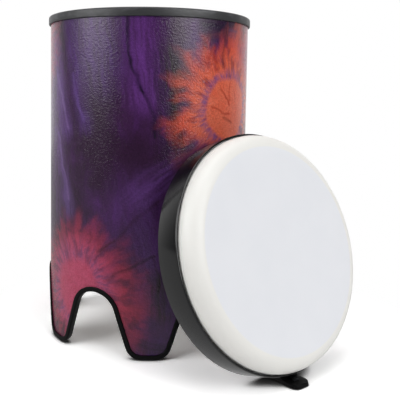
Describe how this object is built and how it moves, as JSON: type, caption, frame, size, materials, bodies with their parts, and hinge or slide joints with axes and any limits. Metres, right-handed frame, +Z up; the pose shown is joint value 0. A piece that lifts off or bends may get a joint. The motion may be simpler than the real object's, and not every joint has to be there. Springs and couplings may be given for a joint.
{
  "type": "tubano",
  "caption": "Floor-standing tubular hand drum on cut-out feet, with a tie-dye wrap and a quick-release head that is taken off and leans on the shell.",
  "frame": {"origin": "the point on the floor below the middle of the drum and its leaning head together, so the bottom centre of their bounding box", "axes": "+Z up along the shell's axis, -Y towards the viewer and the front foot, +X to the right, where the head leans"},
  "size_m": [0.4858, 0.4772, 0.52],
  "materials": {
    "wood_fibre": "rolled fibre tube, matt and unpainted inside",
    "printed_cloth": "tie-dye print on cloth under a clear gloss coat",
    "rim_plastic": "charcoal extruded plastic with a soft sheen",
    "edging_rubber": "black extruded rubber",
    "hoop_plastic": "black gloss moulding",
    "gasket_rubber": "dark grey, matt",
    "ring_fibre": "pressed fibre, matt",
    "hoop_aluminium": "plain rolled channel",
    "drum_film": "milk-white film with a satin face",
    "lever_plastic": "black moulding, slightly glossy",
    "pin_steel": "ground steel",
    "spring_steel": "spring steel strip"
  },
  "bodies": {
    "drum": {"shell": "wood_fibre", "shell_wrap": "printed_cloth", "rim_trim": "rim_plastic", "foot_edging": "edging_rubber"},
    "head": {"head_hoop": "hoop_plastic", "seat_gasket": "gasket_rubber", "bearing_ring": "ring_fibre", "flesh_hoop": "hoop_aluminium", "head_film": "drum_film", "latch_pin": "pin_steel", "latch_spring": "spring_steel"},
    "latch": {"latch_lever": "lever_plastic"}
  },
  "joints": [
    {"name": "head_lift", "type": "slide", "parent": "drum", "child": "head", "axis": [0.484, -0.5155, 0.7071], "range_m": [0, 0.4]},
    {"name": "latch_press", "type": "hinge", "parent": "head", "child": "latch", "pos_m": [0.11576, -0.15452, 0.01056], "axis": [-0.8139, -0.58, 0.0332], "range_deg": [0, 8.5], "stiffness_Nm_per_rad": 0.15, "springref_deg": -14.32, "deforming": ["latch_spring"]}
  ]
}
